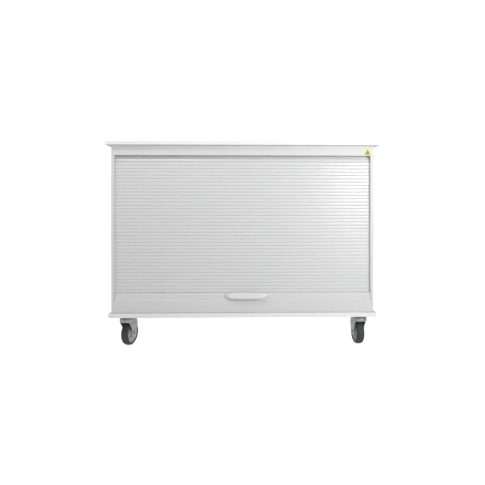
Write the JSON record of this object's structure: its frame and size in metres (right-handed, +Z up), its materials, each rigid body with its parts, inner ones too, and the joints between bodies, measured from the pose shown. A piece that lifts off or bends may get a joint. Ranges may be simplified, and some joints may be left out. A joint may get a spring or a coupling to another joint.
{
  "type": "mobile roll top desk",
  "caption": "Box-shaped desk on castors with a flat worktop and a horizontally slatted tambour front that slides up and back under the top",
  "frame": {"origin": "on the floor, below the middle of the worktop", "axes": "+Z up, +X along the width to the user's right as they face the shutter, -Y out of the shutter front"},
  "size_m": [1.1, 0.64, 0.839],
  "materials": {
    "laminate": "white melamine-faced board, satin, with white edge banding",
    "tambour_plastic": "white extruded plastic slats, semi-gloss",
    "track_plastic": "white-grey plastic channel",
    "zinc": "zinc-plated pressed steel, slightly dull",
    "hub_plastic": "blue-grey moulded wheel centre",
    "tyre_rubber": "dark grey rubber tread",
    "sticker_vinyl": "yellow vinyl film"
  },
  "bodies": {
    "root": {"top_board": "laminate", "base_board": "laminate", "side_panel_left": "laminate", "side_panel_right": "laminate", "back_panel": "laminate", "fascia": "laminate", "front_rail": "laminate", "shelf": "laminate", "shelf_pin_front_left": "zinc", "shelf_pin_rear_left": "zinc", "shelf_pin_front_right": "zinc", "shelf_pin_rear_right": "zinc", "guide_track_left": "track_plastic", "guide_track_right": "track_plastic", "sticker": "sticker_vinyl", "castor_front_left_plate": "zinc", "castor_front_left_kingpin": "zinc", "castor_front_right_plate": "zinc", "castor_front_right_kingpin": "zinc", "castor_rear_left_plate": "zinc", "castor_rear_left_kingpin": "zinc", "castor_rear_right_plate": "zinc", "castor_rear_right_kingpin": "zinc"},
    "shutter": {"shutter_rail": "tambour_plastic", "handle": "tambour_plastic"},
    "slat_1": {"slat_1": "tambour_plastic"},
    "slat_2": {"slat_2": "tambour_plastic"},
    "slat_3": {"slat_3": "tambour_plastic"},
    "slat_4": {"slat_4": "tambour_plastic"},
    "slat_5": {"slat_5": "tambour_plastic"},
    "curtain": {"curtain": "tambour_plastic"},
    "castor_front_left_fork": {"castor_front_left_fork": "zinc", "castor_front_left_axle": "zinc"},
    "castor_front_left_wheel": {"castor_front_left_hub": "hub_plastic", "castor_front_left_tyre": "tyre_rubber"},
    "castor_front_right_fork": {"castor_front_right_fork": "zinc", "castor_front_right_axle": "zinc"},
    "castor_front_right_wheel": {"castor_front_right_hub": "hub_plastic", "castor_front_right_tyre": "tyre_rubber"},
    "castor_rear_left_fork": {"castor_rear_left_fork": "zinc", "castor_rear_left_axle": "zinc"},
    "castor_rear_left_wheel": {"castor_rear_left_hub": "hub_plastic", "castor_rear_left_tyre": "tyre_rubber"},
    "castor_rear_right_fork": {"castor_rear_right_fork": "zinc", "castor_rear_right_axle": "zinc"},
    "castor_rear_right_wheel": {"castor_rear_right_hub": "hub_plastic", "castor_rear_right_tyre": "tyre_rubber"}
  },
  "joints": [
    {"name": "shutter_lift", "type": "slide", "parent": "root", "child": "shutter", "axis": [0, 0, 1], "range_m": [0, 0.5304]},
    {"name": "slat_1_turn", "type": "hinge", "parent": "shutter", "child": "slat_1", "pos_m": [0, -0.2835, 0.229], "axis": [-1, 0, 0], "range_deg": [0, 15.05], "deforming": ["slat_1"]},
    {"name": "slat_2_turn", "type": "hinge", "parent": "shutter", "child": "slat_2", "pos_m": [0, -0.2826, 0.2358], "axis": [-1, 0, 0], "range_deg": [0, 30.05], "deforming": ["slat_2"]},
    {"name": "slat_3_turn", "type": "hinge", "parent": "shutter", "child": "slat_3", "pos_m": [0, -0.2811, 0.2426], "axis": [-1, 0, 0], "range_deg": [0, 45.05], "deforming": ["slat_3"]},
    {"name": "slat_4_turn", "type": "hinge", "parent": "shutter", "child": "slat_4", "pos_m": [0, -0.27896, 0.2494], "axis": [-1, 0, 0], "range_deg": [0, 60.05], "deforming": ["slat_4"]},
    {"name": "slat_5_turn", "type": "hinge", "parent": "shutter", "child": "slat_5", "pos_m": [0, -0.27616, 0.2562], "axis": [-1, 0, 0], "range_deg": [0, 75.05], "deforming": ["slat_5"]},
    {"name": "curtain_turn", "type": "hinge", "parent": "shutter", "child": "curtain", "pos_m": [0, -0.27265, 0.263], "axis": [-1, 0, 0], "range_deg": [0, 90.05], "deforming": ["curtain"]},
    {"name": "swivel_front_left", "type": "hinge", "parent": "root", "child": "castor_front_left_fork", "pos_m": [-0.48, -0.24, 0.12], "axis": [0, 0, 1], "continuous": true},
    {"name": "wheel_front_left", "type": "hinge", "parent": "castor_front_left_fork", "child": "castor_front_left_wheel", "pos_m": [-0.47415, -0.22087, 0.05], "axis": [0.9563, -0.2924, 0], "continuous": true},
    {"name": "swivel_front_right", "type": "hinge", "parent": "root", "child": "castor_front_right_fork", "pos_m": [0.488, -0.24, 0.12], "axis": [0, 0, 1], "continuous": true},
    {"name": "wheel_front_right", "type": "hinge", "parent": "castor_front_right_fork", "child": "castor_front_right_wheel", "pos_m": [0.48695, -0.22003, 0.05], "axis": [0.9986, 0.0523, 0], "continuous": true},
    {"name": "swivel_rear_left", "type": "hinge", "parent": "root", "child": "castor_rear_left_fork", "pos_m": [-0.48, 0.24, 0.12], "axis": [0, 0, 1], "continuous": true},
    {"name": "wheel_rear_left", "type": "hinge", "parent": "castor_rear_left_fork", "child": "castor_rear_left_wheel", "pos_m": [-0.47756, 0.25985, 0.05], "axis": [0.9925, -0.1219, 0], "continuous": true},
    {"name": "swivel_rear_right", "type": "hinge", "parent": "root", "child": "castor_rear_right_fork", "pos_m": [0.488, 0.24, 0.12], "axis": [0, 0, 1], "continuous": true},
    {"name": "wheel_rear_right", "type": "hinge", "parent": "castor_rear_right_fork", "child": "castor_rear_right_wheel", "pos_m": [0.48418, 0.25963, 0.05], "axis": [0.9816, 0.1908, 0], "continuous": true}
  ],
  "couplings": [
    {"joint": "slat_1_turn", "follows": "shutter_lift", "rad_per_m": 0.49359},
    {"joint": "slat_2_turn", "follows": "shutter_lift", "rad_per_m": 0.98718},
    {"joint": "slat_3_turn", "follows": "shutter_lift", "rad_per_m": 1.4808},
    {"joint": "slat_4_turn", "follows": "shutter_lift", "rad_per_m": 1.9744},
    {"joint": "slat_5_turn", "follows": "shutter_lift", "rad_per_m": 2.4679},
    {"joint": "curtain_turn", "follows": "shutter_lift", "rad_per_m": 2.9615}
  ]
}
